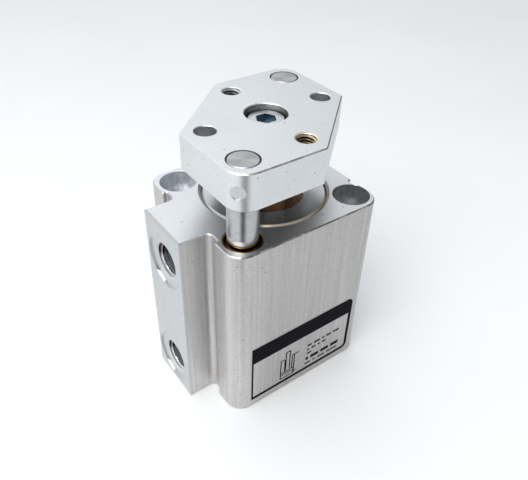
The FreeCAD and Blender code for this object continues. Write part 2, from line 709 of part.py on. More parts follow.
def make_tool_plate():
    """The plate: two corners cut away, two rounded ones that hold the guide rods, and its holes."""
    body = new_body("tool_plate")
    wide = "Sizes.plate_half_width"
    deep = "Sizes.plate_half_depth"
    side = "Sizes.plate_cut_side"
    edge = "Sizes.plate_cut_edge"
    outline = [(f"-{wide}", f"-{deep}"), (edge, f"-{deep}"), (wide, f"-{side}"),
               (wide, deep), (f"-{edge}", deep), (f"-{wide}", side)]
    pad(body, "plate", outline, "Sizes.plate_thickness")
    corners = [(f"-{wide}", f"-{deep}"), (wide, deep)]
    dress(body, "Fillet", "rounded_corners", upright_edges(body.Shape, corners), "Sizes.plate_corner_radius")
    faces = level_edges(body.Shape, (0.0, measure("Sizes.plate_thickness")))
    dress(body, "Chamfer", "face_edges", faces, "Sizes.edge_break")
    thick = "Sizes.plate_thickness"
    threads = [("0", "-Sizes.plate_thread_along"), ("0", "Sizes.plate_thread_along")]
    holes = [("-Sizes.plate_hole_across", "0"), ("Sizes.plate_hole_across", "0")]
    guides = list(GUIDE_PLACES.values())
    drill(body, "guide_seats", "XY_Plane", guides, "Sizes.guide_rod_radius", "0", thick)
    drill(body, "threads", "XY_Plane", threads, "Sizes.plate_thread_radius", "0", thick)
    drill(body, "clearance_holes", "XY_Plane", holes, "Sizes.plate_hole_radius", "0", thick)
    drill(body, "screw_hole", "XY_Plane", [("0", "0")], "Sizes.plate_screw_clearance", "0", thick)
    drill(body, "screw_seat", "XY_Plane", [("0", "0")], "Sizes.plate_counterbore_radius",
          f"{thick} - Sizes.plate_counterbore_depth", "Sizes.plate_counterbore_depth")
    for hole in ("thread", "hole", "counterbore"):
        mouths = [name for name in round_edges(body.Shape, measure(f"Sizes.plate_{hole}_radius"))
                  if body.Shape.getElement(name).CenterOfMass.z > measure(thick) - POINT_TOLERANCE]
        dress(body, "Chamfer", f"{hole}_mouths", mouths, f"Sizes.plate_{hole}_chamfer")
    place(body, up="Sizes.plate_bottom")
    for name in GUIDE_PLACES:
        before = body.Shape.Volume
        pin_hole = body.newObject("PartDesign::SubtractiveCylinder", f"plate_pin_hole_{name}")
        pin_hole.AttachmentSupport = (origin_plane(body, "YZ_Plane"), [""])
        pin_hole.MapMode = "FlatFace"
        pin_hole.setExpression("Radius", "Sizes.pin_radius")
        pin_hole.setExpression("Height", "Sizes.pin_drill_length")
        offset = cross_placement(name)
        offset.Base.y -= measure("Sizes.plate_bottom")
        pin_hole.AttachmentOffset = offset
        require_less(body, before, f"plate_pin_hole_{name}")
    return body


def make_plate_screw():
    """The cap screw that ties the plate to the piston rod."""
    body = new_body("plate_screw")
    thread = "Sizes.screw_thread_radius"
    length = "Sizes.screw_length"
    head = "Sizes.screw_head_radius"
    chamfer = "Sizes.screw_head_chamfer"
    top = f"{length} + Sizes.screw_head_height"
    profile = (("0", "0"), (f"{thread} - {chamfer}", "0"), (thread, chamfer), (thread, length), (head, length),
               (head, f"{top} - {chamfer}"), (f"{head} - {chamfer}", top), ("0", top))
    revolve(body, "screw_turning", profile)
    before = body.Shape.Volume
    socket = body.newObject("PartDesign::SubtractivePrism", "hex_socket")
    attach(socket, body, "XY_Plane", f"{top} - Sizes.screw_hex_depth")
    socket.Polygon = HEX_SIDES
    socket.setExpression("Circumradius", "Sizes.screw_hex_flats / sqrt(3)")
    socket.setExpression("Height", "Sizes.screw_hex_depth")
    require_less(body, before, "hex_socket")
    place(body, up="Sizes.plate_bottom + Sizes.plate_thickness - Sizes.plate_counterbore_depth - Sizes.screw_length")
    return body


def make_all():
    nodes = [make_barrel(), make_front_cover(), make_rear_cover(), make_rod_bush(), make_rod_seal()]
    nodes.append(retaining_ring("front_retaining_ring", "Sizes.front_ring_bottom"))
    nodes.append(retaining_ring("rear_retaining_ring", "Sizes.rear_ring_bottom"))
    nodes.append(o_ring("front_cover_o_ring", "Sizes.front_o_ring_bottom"))
    nodes.append(o_ring("rear_cover_o_ring", "Sizes.rear_o_ring_bottom"))
    nodes += make_bumpers()
    nodes += make_guide_bushes()
    nodes.append(make_label())
    nodes += make_piston()
    nodes.append(make_piston_rod())
    nodes += make_guide_rods()
    nodes.append(make_pins())
    nodes.append(make_tool_plate())
    nodes.append(make_plate_screw())
    return nodes


def export(nodes):
    """Stops on any failed object or bad shape, then writes one STEP file per node."""
    doc.recompute()
    for item in doc.Objects:
        if "Invalid" in item.State or "Error" in item.State:
            raise RuntimeError(f"{item.Label} failed: {item.State}")
    for node in nodes:
        if node.Shape.isNull() or not node.Shape.isValid() or not node.Shape.Solids:
            raise RuntimeError(f"{node.Label} has no valid solid")
    os.makedirs("parts", exist_ok=True)
    for node in nodes:
        node.Shape.exportStep(f"parts/{node.Label}.step")
        box = node.Shape.BoundBox
        print(f"{node.Label:24s} {len(node.Shape.Solids)} solid, {node.Shape.Volume:9.1f} mm3, "
              f"z {box.ZMin:6.2f} to {box.ZMax:6.2f}")


export(make_all())
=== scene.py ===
import bmesh
import bpy
import json
import math
from mathutils import Matrix, Vector


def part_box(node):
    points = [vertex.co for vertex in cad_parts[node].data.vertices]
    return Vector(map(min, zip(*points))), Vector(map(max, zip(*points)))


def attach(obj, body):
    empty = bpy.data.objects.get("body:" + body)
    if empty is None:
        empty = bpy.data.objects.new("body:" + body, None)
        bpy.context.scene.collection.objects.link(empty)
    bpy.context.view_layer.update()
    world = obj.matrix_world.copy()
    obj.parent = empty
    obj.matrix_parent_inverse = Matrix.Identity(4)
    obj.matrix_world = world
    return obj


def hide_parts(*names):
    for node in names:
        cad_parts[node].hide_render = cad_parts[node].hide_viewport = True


# A guided pneumatic cylinder: surface finishes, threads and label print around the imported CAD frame.
# Metres. +Z along the piston rod, ports on the -X face, label on the -Y face.

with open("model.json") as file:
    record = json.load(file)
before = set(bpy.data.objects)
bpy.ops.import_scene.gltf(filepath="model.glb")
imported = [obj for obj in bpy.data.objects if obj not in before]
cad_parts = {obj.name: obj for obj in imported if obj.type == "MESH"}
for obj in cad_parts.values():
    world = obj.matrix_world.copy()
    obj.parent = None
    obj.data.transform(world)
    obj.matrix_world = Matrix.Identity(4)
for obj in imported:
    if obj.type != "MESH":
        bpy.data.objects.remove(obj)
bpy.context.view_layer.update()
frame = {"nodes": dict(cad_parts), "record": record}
NODES = frame["nodes"]
MM = 0.001

# Camera, measured from a pivot on the piston axis.
CAMERA_AZIMUTH = math.radians(-37.289)
CAMERA_ELEVATION = math.radians(38.014)
CAMERA_ROLL = math.radians(2.011)
CAMERA_PIVOT = Vector((0, 0, 0.030))
CAMERA_DISTANCE = 0.174566
CAMERA_OFFSET_RIGHT = 0.000843
CAMERA_OFFSET_UP = 0.007997
CAMERA_LENS = 38.632
CAMERA_SENSOR = 36.0

# Floor, sky and lights.
FLOOR_SIZE = 3.0
FLOOR_COLOUR = (0.86, 0.875, 0.885)
SKY_COLOUR = (0.95, 0.975, 1.0, 1.0)
SKY_DIM_BELOW = 0.05
SKY_FULL_ABOVE = 0.60
SKY_HORIZON = 0.22
SKY_ZENITH = 0.60
SKY_LEAST = 0.03
SKY_LEAN = (-0.16, 0.18, 0.0)
GLOW_TOWARDS = (0.04, 0.79, 0.61)
GLOW_EDGE = 0.45
GLOW_STRENGTH = 0.68
BACKDROP_BRIGHTNESS = 0.84
KEY_POWER = 3.0
KEY_PLACE = (-0.33, -0.14, 0.54)
KEY_AIM = (0, 0, 0.03)
KEY_SIZE = 0.50
KEY_COLOUR = (1.0, 0.99, 0.97)

# The dark card lies on the floor, a sector of a ring round the front guide rod; it is painted shade, standing
# in for the shadow of the camera and the person holding it.
CARD_CENTRE = (-0.018, -0.016)
CARD_NEAR = 0.072
CARD_FAR = 0.40
CARD_FROM = math.radians(17)
CARD_TO = math.radians(48)
CARD_STEPS = 12
CARD_LIFT = 0.001

# Thread sizes, in millimetres: crest and root radius of the internal thread, and pitch.
PORT_THREAD = {"crest": 4.28, "root": 4.86, "pitch": 0.907}
PLATE_THREAD = {"crest": 2.10, "root": 2.50, "pitch": 0.80}
THREAD_STEPS = 64
THREAD_EMBED = 0.03
CREST_SHARE = 0.07
ROOT_SHARE = 0.44
PORT_MOUTH_DEPTH = 0.55
PORT_CHAMFER = 0.5
PORT_FACE_DEPTH = 0.5
PORT_BODY_DEPTH = 8.0
PLATE_THREAD_CHAMFER = 0.25

# The raised lip in each guide bush's recess, in millimetres.
LIP_INNER = 4.12
LIP_OUTER = 4.34
LIP_HEIGHT = 0.95
LIP_CHAMFER = 0.08
BUSH_RECESS_DEPTH = 1.6
RING_STEPS = 72

# Where the finishes change, in metres.
MILLED_PORT_FACE_X = -0.0314
PORT_WALL_X = -0.0310
PORT_MOUTH_X = -0.0308
PORT_WALL_RADIUS = 0.0049
PORT_CHAMFER_RADIUS = 0.0055
SPOTFACE_RIM_RADII = (0.0073, 0.0083)
RIM_PARTING = 0.0063
# Painted shade in the ports starts a little below each port's axis and is full just below it.
SHADE_STARTS = -0.0022
SHADE_FULL = -0.0002
MOUNTING_HOLE_RADIUS = 0.0053
WORN_FRONT_Y = -0.0215
PLATE_THREAD_RADIUS = 0.00256
PLATE_THREAD_CHAMFER_RADII = (0.0026, 0.0029)
PLATE_COUNTERBORE_RADIUS = 0.0058
ROD_GAP_RADII = (0.00395, 0.00415)
SCREW_SOCKET_RADIUS = 0.0030
BUSH_RECESS_RADIUS = 0.0049

# Label foil and print, in millimetres.
PRINT_THICKNESS = 0.01
PRINT_EMBED = 0.03
FOIL_INSET = 0.012
FOIL_DEPTH = 0.06
BAND_HEIGHT = 6.0
BORDER_LEFT = 0.55
BORDER_BOTTOM = 1.15
BORDER_RIGHT = 1.15
LABEL_CORNER = 2.0
LINE_WIDTH = 0.42
PICTOGRAM_PLACE = (10.4, 1.9)
PRINT_GAP = 0.9
PRINT_ROWS = (
    # height above the label's bottom edge, bar height, start, bar widths
    (2.5, 0.60, 20.0, (2.4, 1.0, 2.8, 4.2)),
    (4.3, 1.30, 20.3, (1.0, 3.2, 3.2, 3.2)),
    (6.9, 0.70, 20.6, (1.8,)),
    (8.6, 0.75, 20.6, (0.8, 1.6, 0.8, 1.5)),
    (10.4, 0.80, 20.6, (1.6, 2.4, 0.8, 1.8, 2.4)),
)

# Linear colours.
ALUMINIUM_EXTRUDED = (0.485, 0.474, 0.469)
ALUMINIUM_MILLED = (0.685, 0.702, 0.718)
PORT_FACE = (0.545, 0.555, 0.565)
PLATE_UNDERSIDE_PAINTED_SHADE = (0.16, 0.155, 0.155)
COUNTERBORE_WALL = (0.42, 0.41, 0.41)
THREAD_WALL_PAINTED_SHADE = (0.14, 0.12, 0.11)
BRASSY_CHAMFER = (0.72, 0.62, 0.38)
FRONT_HOLE_WALL_PAINTED_SHADE = (0.34, 0.35, 0.37)
BACK_HOLE_WALL_PAINTED_LIGHT = (0.68, 0.72, 0.76)
PORT_UNSHADED = (0.50, 0.53, 0.57)
PORT_PAINTED_SHADE = (0.055, 0.042, 0.040)
CREST_PAINTED_HIGHLIGHT = (0.95, 0.97, 1.0)
CREST_HIGHLIGHT_IN_SHADE = (0.42, 0.37, 0.36)
SPOTFACE_PAINTED_SHADE = (0.25, 0.24, 0.245)
SPOTFACE_PAINTED_HIGHLIGHT = (0.97, 0.98, 0.99)
COVER = (0.50, 0.505, 0.515)
COVER_PAINTED_REFLECTION = (0.74, 0.58, 0.42)
ROD_SIDE = (0.46, 0.46, 0.47)
ROD_END = (0.42, 0.415, 0.415)
ROD_GAP = (0.06, 0.05, 0.05)
SCREW_HEAD = (0.60, 0.64, 0.66)
SCREW_SOCKET_PAINTED_SHADE = (0.20, 0.28, 0.34)
BRONZE = (0.72, 0.40, 0.11)
BRONZE_RIM = (0.86, 0.55, 0.19)
RECESS_PAINTED_SHADE = (0.075, 0.022, 0.010)
INK = (0.009, 0.008, 0.012)
CARD_PAINTED_SHADE = (0.03, 0.028, 0.03)
WORN_EDGE = (0.21, 0.17, 0.14)
SPECK = (0.16, 0.15, 0.15)


def middle(node):
    """The middle of a CAD node's box."""
    low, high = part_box(node)
    return (low + high) / 2


MOUNTS = {mount["name"]: mount for mount in frame["record"]["mounts"]}
PORTS = {name: Vector(MOUNTS[name]["pos_m"]) for name in ("port_lower", "port_upper")}
GUIDE_RODS = ("guide_rod_left", "guide_rod_right")
PLATE_THREAD_REACH = MOUNTS["plate_threads"]["dims"]["spacing_y_mm"] / 2 * MM

# The mounting holes are the guide rods' places mirrored in the YZ plane, the front one first.
MOUNTING_HOLES = [Vector((-middle(rod).x, middle(rod).y, 0.0)) for rod in GUIDE_RODS]


class Finish:
    """One material's node tree, with short calls for the nodes that the finishes share."""

    def __init__(self, name, metallic, roughness):
        self.material = bpy.data.materials.new(name)
        self.material.use_nodes = True
        self.tree = self.material.node_tree
        self.shader = self.tree.nodes["Principled BSDF"]
        self.shader.inputs["Metallic"].default_value = metallic
        self.shader.inputs["Roughness"].default_value = roughness
        self.place = self.add("ShaderNodeTexCoord").outputs["Object"]
        self.true_normal = self.add("ShaderNodeNewGeometry").outputs["True Normal"]

    def add(self, kind, **settings):
        node = self.tree.nodes.new(kind)
        for key, setting in settings.items():
            setattr(node, key, setting)
        return node

    def feed(self, socket, source):
        """Links a socket to another node's output, or sets it to a plain value."""
        if isinstance(source, bpy.types.NodeSocket):
            self.tree.links.new(source, socket)
        elif isinstance(source, tuple) and len(source) == 3 and socket.type == "RGBA":
            socket.default_value = (*source, 1.0)
        else:
            socket.default_value = source

    def set_shader(self, name, source):
        self.feed(self.shader.inputs[name], source)

    def math(self, operation, first, second=0.0, third=0.0):
        node = self.add("ShaderNodeMath", operation=operation)
        for socket, source in zip(node.inputs, (first, second, third)):
            self.feed(socket, source)
        return node.outputs["Value"]

    def above(self, value, limit):
        """A mask: 1 where the value is over the limit, else 0."""
        return self.math("GREATER_THAN", value, limit)

    def below(self, value, limit):
        """A mask: 1 where the value is under the limit, else 0."""
        return self.math("LESS_THAN", value, limit)

    def between(self, value, low, high):
        """A mask: 1 where the value is between two limits, else 0."""
        return self.both(self.above(value, low), self.below(value, high))

    def both(self, *masks):
        """The product of masks or factors."""
        total = masks[0]
        for mask in masks[1:]:
            total = self.math("MULTIPLY", total, mask)
        return total

    def either(self, *masks):
        """The largest of some masks."""
        total = masks[0]
        for mask in masks[1:]:
            total = self.math("MAXIMUM", total, mask)
        return total

    def along(self, vector, name):
        """One component of a vector, X, Y or Z."""
        node = self.add("ShaderNodeSeparateXYZ")
        self.feed(node.inputs["Vector"], vector)
        return node.outputs[name]

    def stretched(self, scale, centre=(0.0, 0.0, 0.0)):
        """Object coordinates about a centre, in noise cells per metre along each axis."""
        node = self.add("ShaderNodeMapping", vector_type="POINT")
        self.feed(node.inputs["Vector"], self.place)
        node.inputs["Scale"].default_value = scale
        node.inputs["Location"].default_value = [-c * s for c, s in zip(centre, scale)]
        return node.outputs["Vector"]

    def from_axis(self, centre, axis):
        """Distance from a line through centre that runs along one axis, in metres."""
        scale = tuple(0.0 if name == axis else 1.0 for name in "XYZ")
        node = self.add("ShaderNodeVectorMath", operation="LENGTH")
        self.feed(node.inputs[0], self.stretched(scale, centre))
        return node.outputs["Value"]

    def noise(self, scale, detail=2.0, roughness=0.5):
        node = self.add("ShaderNodeTexNoise")
        self.feed(node.inputs["Vector"], self.stretched(scale))
        node.inputs["Scale"].default_value = 1.0
        node.inputs["Detail"].default_value = detail
        node.inputs["Roughness"].default_value = roughness
        return node.outputs["Fac"]

    def ramp(self, source, low, high, start=0.0, end=1.0):
        """Smoothly maps a value from low..high to start..end."""
        node = self.add("ShaderNodeMapRange", interpolation_type="SMOOTHSTEP")
        self.feed(node.inputs["Value"], source)
        node.inputs["From Min"].default_value = low
        node.inputs["From Max"].default_value = high
        node.inputs["To Min"].default_value = start
        node.inputs["To Max"].default_value = end
        return node.outputs["Result"]

    def mix(self, factor, first, second, blend="MIX"):
        """Goes from the first colour to the second as factor goes from 0 to 1."""
        node = self.add("ShaderNodeMix", data_type="RGBA", blend_type=blend)
        self.feed(node.inputs["Factor"], factor)
        self.feed(node.inputs[6], first)
        self.feed(node.inputs[7], second)
        return node.outputs[2]

    def mix_values(self, factor, first, second):
        """Goes from the first value to the second as factor goes from 0 to 1."""
        node = self.add("ShaderNodeMix", data_type="FLOAT")
        for socket, source in zip((node.inputs[0], node.inputs[2], node.inputs[3]), (factor, first, second)):
            self.feed(socket, source)
        return node.outputs[0]

    def shade(self, colour, amount):
        """Multiplies a colour by a value."""
        return self.mix(1.0, colour, amount, blend="MULTIPLY")

    def specks(self, cells, size):
        """1 on small round spots: cells per metre, and the spot size in cells."""
        node = self.add("ShaderNodeTexVoronoi", feature="F1")
        self.feed(node.inputs["Vector"], self.stretched((cells, cells, cells)))
        node.inputs["Scale"].default_value = 1.0
        return self.below(node.outputs["Distance"], size)

    def marked(self, colour):
        """Adds a few dark pits and many faint fine ones to a colour."""
        pits = self.both(self.specks(280, 0.062), 0.75)
        fine_pits = self.both(self.specks(620, 0.10), 0.30)
        return self.mix(self.either(pits, fine_pits), colour, SPECK)

    def bump(self, height, distance, strength):
        node = self.add("ShaderNodeBump")
        self.feed(node.inputs["Height"], height)
        node.inputs["Distance"].default_value = distance
        node.inputs["Strength"].default_value = strength
        self.set_shader("Normal", node.outputs["Normal"])


def milled_grain(finish):
    """The fine grain of a milled face and the factor that it gives the colour."""
    grain = finish.noise((1900, 1900, 1900), detail=3.0)
    cloud = finish.noise((70, 70, 70))
    mottle = finish.both(finish.ramp(grain, 0.3, 0.7, 0.965, 1.03), finish.ramp(cloud, 0.3, 0.7, 0.98, 1.02))
    return grain, mottle


def worn_front_edge(finish):
    """1 on the worn patches of the chamfer along the top of the front face."""
    normal_y = finish.along(finish.true_normal, "Y")
    normal_z = finish.along(finish.true_normal, "Z")
    chamfer = finish.both(finish.between(normal_z, 0.45, 0.9), finish.below(normal_y, -0.6))
    at_front = finish.below(finish.along(finish.place, "Y"), WORN_FRONT_Y)
    patches = finish.ramp(finish.noise((420, 420, 420)), 0.36, 0.56)
    return finish.both(chamfer, at_front, patches)


def painted_light_port_side(finish):
    """A factor just over 1 that paints light onto the extrusion: its port side, most of all near the bottom.
    """
    port_side = finish.ramp(finish.along(finish.place, "X"), -0.012, -0.021)
    gain = finish.ramp(finish.along(finish.place, "Z"), 0.036, 0.006, 0.12, 0.25)
    return finish.math("MULTIPLY_ADD", port_side, gain, 1.0)


def near_port_face(finish):
    """1 close to the port face, down to the ends of the ports' chamfers."""
    return finish.below(finish.along(finish.place, "X"), PORT_MOUTH_X)


def port_wall(finish, port):
    """1 on a port's inner wall."""
    inside = finish.below(finish.from_axis(port, "X"), PORT_WALL_RADIUS)
    return finish.both(inside, finish.above(finish.along(finish.place, "X"), PORT_WALL_X))


def port_chamfers(finish):
    """1 on the chamfers at the ports' mouths."""
    rings = [finish.between(finish.from_axis(port, "X"), PORT_WALL_RADIUS, PORT_CHAMFER_RADIUS)
             for port in PORTS.values()]
    return finish.both(finish.either(*rings), near_port_face(finish))


def upper_side(finish, axis_height):
    """1 on a port's upper side, where shade is painted, and 0 below."""
    height = finish.along(finish.place, "Z")
    return finish.ramp(height, axis_height + SHADE_STARTS, axis_height + SHADE_FULL)


def spotface_rims(finish):
    """Masks for the painted shade and the painted highlight on each spotface's sloping rim."""
    shade_masks, highlight_masks = [], []
    y = finish.along(finish.place, "Y")
    z = finish.along(finish.place, "Z")
    sloping = finish.above(finish.along(finish.true_normal, "X"), -0.98)
    for port in PORTS.values():
        around = finish.between(finish.from_axis(port, "X"), *SPOTFACE_RIM_RADII)
        rim = finish.both(around, sloping, near_port_face(finish))
        parting = port.z - RIM_PARTING
        highlight_masks.append(finish.both(rim, finish.below(z, parting), finish.above(y, 0.0012)))
        fading = finish.ramp(z, port.z + 0.0055, port.z + 0.0010)
        shade_masks.append(finish.both(rim, fading, finish.above(y, 0.0030), finish.above(z, parting)))
    return finish.either(*shade_masks), finish.either(*highlight_masks)


def mounting_hole_walls(finish, normal_z):
    """A mask for the wall of each mounting hole and its counterbore, below the block's top."""
    below_top = finish.below(finish.along(finish.place, "Z"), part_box("barrel")[1].z - 0.0002)
    upright = finish.below(normal_z, 0.9)
    return [finish.both(finish.below(finish.from_axis(centre, "Z"), MOUNTING_HOLE_RADIUS), below_top, upright)
            for centre in MOUNTING_HOLES]


def body_finish():
    """Clear anodised extrusion with milled ends and port face and rough drilled holes; light, shade and
    highlights are painted on its port side, holes, ports and spotface rims.
    """
    finish = Finish("anodised_body", metallic=1.0, roughness=0.4)
    normal_z = finish.math("ABSOLUTE", finish.along(finish.true_normal, "Z"))
    at_port_face = finish.below(finish.along(finish.place, "X"), MILLED_PORT_FACE_X)
    is_milled = finish.either(finish.above(normal_z, 0.9), at_port_face)
    rim_painted_shade, rim_painted_highlight = spotface_rims(finish)
    walls = mounting_hole_walls(finish, normal_z)
    in_hole = finish.either(*walls)

    fine = finish.noise((1300, 1300, 26), detail=4.0, roughness=0.7)
    broad = finish.noise((520, 520, 9))
    grain, mottle = milled_grain(finish)
    lines = finish.both(finish.ramp(fine, 0.3, 0.7, 0.88, 1.09), finish.ramp(broad, 0.3, 0.7, 0.965, 1.03),
                        finish.ramp(grain, 0.3, 0.7, 0.93, 1.06))
    # Painted light: the extrusion's colour is raised on its port side and near the bottom.
    extruded = finish.shade(finish.shade(ALUMINIUM_EXTRUDED, lines), painted_light_port_side(finish))
    milled = finish.mix(at_port_face, finish.shade(ALUMINIUM_MILLED, mottle), finish.shade(PORT_FACE, mottle))
    base = finish.mix(is_milled, extruded, milled)
    base = finish.marked(finish.mix(worn_front_edge(finish), base, WORN_EDGE))
    stain = finish.ramp(finish.noise((900, 900, 500), detail=3.0, roughness=0.6), 0.25, 0.75, 0.72, 1.15)
    # Painted shade on the front mounting hole's wall, which the plate overhangs, and painted light on the
    # back one's.
    for wall, colour in zip(walls, (FRONT_HOLE_WALL_PAINTED_SHADE, BACK_HOLE_WALL_PAINTED_LIGHT)):
        base = finish.mix(wall, base, finish.shade(colour, stain))
    # Painted shade on each port's upper wall.
    for port in PORTS.values():
        shaded_wall = finish.mix(upper_side(finish, port.z), PORT_UNSHADED, PORT_PAINTED_SHADE)
        base = finish.mix(port_wall(finish, port), base, shaded_wall)
    # Painted shade on part of each spotface rim and a painted highlight at its bottom.
    base = finish.mix(finish.both(rim_painted_shade, 0.75), base, SPOTFACE_PAINTED_SHADE)
    finish.set_shader("Base Color", finish.mix(rim_painted_highlight, base, SPOTFACE_PAINTED_HIGHLIGHT))

    rough = finish.mix_values(is_milled, finish.ramp(fine, 0.2, 0.8, 0.36, 0.46), 0.40)
    rough = finish.mix_values(in_hole, rough, 0.38)
    rough = finish.mix_values(finish.either(rim_painted_shade, rim_painted_highlight), rough, 0.20)
    finish.set_shader("Roughness", rough)
    metal = finish.mix_values(is_milled, 0.8, 1.0)
    metal = finish.mix_values(finish.either(port_chamfers(finish), rim_painted_highlight), metal, 0.1)
    finish.set_shader("Metallic", finish.mix_values(in_hole, metal, 0.5))
    finish.bump(finish.mix_values(is_milled, fine, grain), 0.000010, 0.5)
    return finish.material


def plate_finish():
    """Milled and clear anodised plate, with a dark hairline round each guide rod end."""
    finish = Finish("anodised_plate", metallic=1.0, roughness=0.38)
    normal_z = finish.along(finish.true_normal, "Z")
    upright = finish.below(finish.math("ABSOLUTE", normal_z), 0.5)
    front_thread = finish.from_axis((0, -PLATE_THREAD_REACH, 0), "Z")
    back_thread = finish.from_axis((0, PLATE_THREAD_REACH, 0), "Z")
    in_thread = finish.either(finish.below(front_thread, PLATE_THREAD_RADIUS),
                              finish.below(back_thread, PLATE_THREAD_RADIUS))
    in_counterbore = finish.below(finish.from_axis((0, 0, 0), "Z"), PLATE_COUNTERBORE_RADIUS)
    front_chamfer = finish.both(finish.between(front_thread, *PLATE_THREAD_CHAMFER_RADII),
                                finish.between(normal_z, 0.4, 0.95))

    grain, mottle = milled_grain(finish)
    base = finish.shade(ALUMINIUM_MILLED, mottle)
    base = finish.mix(finish.both(worn_front_edge(finish), 0.5), base, WORN_EDGE)
    base = finish.marked(base)
    # Painted shade on the plate's underside.
    base = finish.mix(finish.below(normal_z, -0.5), base, PLATE_UNDERSIDE_PAINTED_SHADE)
    # Painted shade on the walls of the tapped holes.
    base = finish.mix(finish.both(in_thread, upright), base, THREAD_WALL_PAINTED_SHADE)
    base = finish.mix(finish.both(in_counterbore, upright), base, COUNTERBORE_WALL)
    base = finish.mix(front_chamfer, base, BRASSY_CHAMFER)
    gaps = [finish.between(finish.from_axis(middle(rod), "Z"), *ROD_GAP_RADII) for rod in GUIDE_RODS]
    finish.set_shader("Base Color", finish.mix(finish.both(finish.either(*gaps), 0.75), base, ROD_GAP))
    finish.bump(grain, 0.000010, 0.5)
    return finish.material


def turned_cover_finish():
    """Turned and anodised covers with a painted brassy reflection on the chamfers at the front."""
    finish = Finish("turned_cover", metallic=1.0, roughness=0.24)
    grain = finish.noise((1900, 1900, 1900), detail=3.0)
    normal_z = finish.math("ABSOLUTE", finish.along(finish.true_normal, "Z"))
    edge = finish.between(normal_z, 0.4, 0.9)
    at_front = finish.ramp(finish.along(finish.place, "Y"), -0.005, -0.012)
    base = finish.shade(COVER, finish.ramp(grain, 0.3, 0.7, 0.95, 1.04))
    # The brassy colour on the front chamfers is a painted reflection of the bronze bush.
    finish.set_shader("Base Color", finish.mix(finish.both(edge, at_front, 0.8), base, COVER_PAINTED_REFLECTION))
    return finish.material


def rod_finish(name):
    """Ground steel rod with a spun end face."""
    finish = Finish(name, metallic=1.0, roughness=0.21)
    bands = finish.noise((500, 500, 900))
    on_end = finish.above(finish.along(finish.true_normal, "Z"), 0.9)
    side = finish.shade(ROD_SIDE, finish.ramp(bands, 0.3, 0.7, 0.90, 1.04))
    finish.set_shader("Base Color", finish.mix(on_end, side, ROD_END))
    finish.set_shader("Roughness", finish.mix_values(on_end, 0.21, 0.34))
    finish.set_shader("Anisotropic", 0.9)
    tangent = finish.add("ShaderNodeTangent", direction_type="RADIAL", axis="Z")
    finish.set_shader("Tangent", tangent.outputs["Tangent"])
    return finish.material


def screw_finish():
    """Blue zinc cap screw with painted shade in its socket."""
    finish = Finish("zinc_screw", metallic=1.0, roughness=0.28)
    mottle = finish.noise((1700, 1700, 1700), detail=3.0)
    head_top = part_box("plate_screw")[1].z
    in_socket = finish.both(finish.below(finish.from_axis((0, 0, 0), "Z"), SCREW_SOCKET_RADIUS),
                            finish.below(finish.along(finish.place, "Z"), head_top - 0.0001))
    base = finish.shade(SCREW_HEAD, finish.ramp(mottle, 0.3, 0.7, 0.80, 1.06))
    # Painted shade in the socket.
    finish.set_shader("Base Color", finish.mix(in_socket, base, SCREW_SOCKET_PAINTED_SHADE))
    finish.bump(mottle, 0.00002, 0.5)
    return finish.material


def bush_finish_with_painted_shade(node):
    """Bronze bush with a bright rim round a recess darkened with painted shade."""
    finish = Finish(f"{node}_bronze", metallic=1.0, roughness=0.22)
    mottle = finish.noise((2500, 2500, 2500), detail=3.0)
    rim_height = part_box(node)[1].z
    in_recess = finish.both(finish.below(finish.from_axis(middle(node), "Z"), BUSH_RECESS_RADIUS),
                            finish.below(finish.along(finish.place, "Z"), rim_height - 0.00005))
    rim = finish.shade(BRONZE_RIM, finish.ramp(mottle, 0.25, 0.75, 0.90, 1.05))
    # Painted shade in the recess.
    finish.set_shader("Base Color", finish.mix(in_recess, rim, RECESS_PAINTED_SHADE))
    finish.bump(mottle, 0.000006, 0.4)
    return finish.material


def port_thread_finish(name, port):
    """Cut thread with the painted shade that its port has on its upper side, and a painted highlight along
    its crest.
    """
    finish = Finish(name, metallic=0.9, roughness=0.26)
    crest = PORT_THREAD["crest"] * MM
    # A painted highlight along the thread's crest, dimmed where the upper side's painted shade is.
    crest_highlight = finish.ramp(finish.from_axis(port, "X"), crest + 0.00024, crest + 0.00006)
    upper = upper_side(finish, port.z)
    flank_colour = finish.mix(upper, PORT_UNSHADED, PORT_PAINTED_SHADE)
    crest_colour = finish.mix(upper, CREST_PAINTED_HIGHLIGHT, CREST_HIGHLIGHT_IN_SHADE)
    finish.set_shader("Base Color", finish.mix(crest_highlight, flank_colour, crest_colour))
    return finish.material


def plain_metal(name, colour, roughness, variation=0.08):
    """Plated or drawn metal with a faint mottle."""
    finish = Finish(name, metallic=1.0, roughness=roughness)
    mottle = finish.noise((2500, 2500, 2500), detail=3.0)
    tone = finish.ramp(mottle, 0.25, 0.75, 1 - variation, 1 + variation / 2)
    finish.set_shader("Base Color", finish.shade(colour, tone))
    finish.set_shader("Roughness", finish.ramp(mottle, 0.2, 0.8, roughness * 0.8, roughness * 1.2))
    finish.bump(mottle, 0.000006, 0.4)
    return finish.material


def matt_finish(name, colour, roughness, specular=0.5):
    """Rubber, plastic or ink, with a fine grain."""
    finish = Finish(name, metallic=0.0, roughness=roughness)
    grain = finish.noise((4000, 4000, 4000))
    finish.set_shader("Base Color", finish.shade(colour, finish.ramp(grain, 0.25, 0.75, 0.85, 1.12)))
    finish.set_shader("Roughness", finish.ramp(grain, 0.2, 0.8, roughness * 0.85, roughness * 1.15))
    finish.set_shader("Specular IOR Level", specular)
    finish.bump(grain, 0.000008, 0.4)
    return finish.material


def dress(material, *nodes):
    """Puts one material on some CAD nodes."""
    for name in nodes:
        slots = NODES[name].data.materials
        slots.clear()
        slots.append(material)


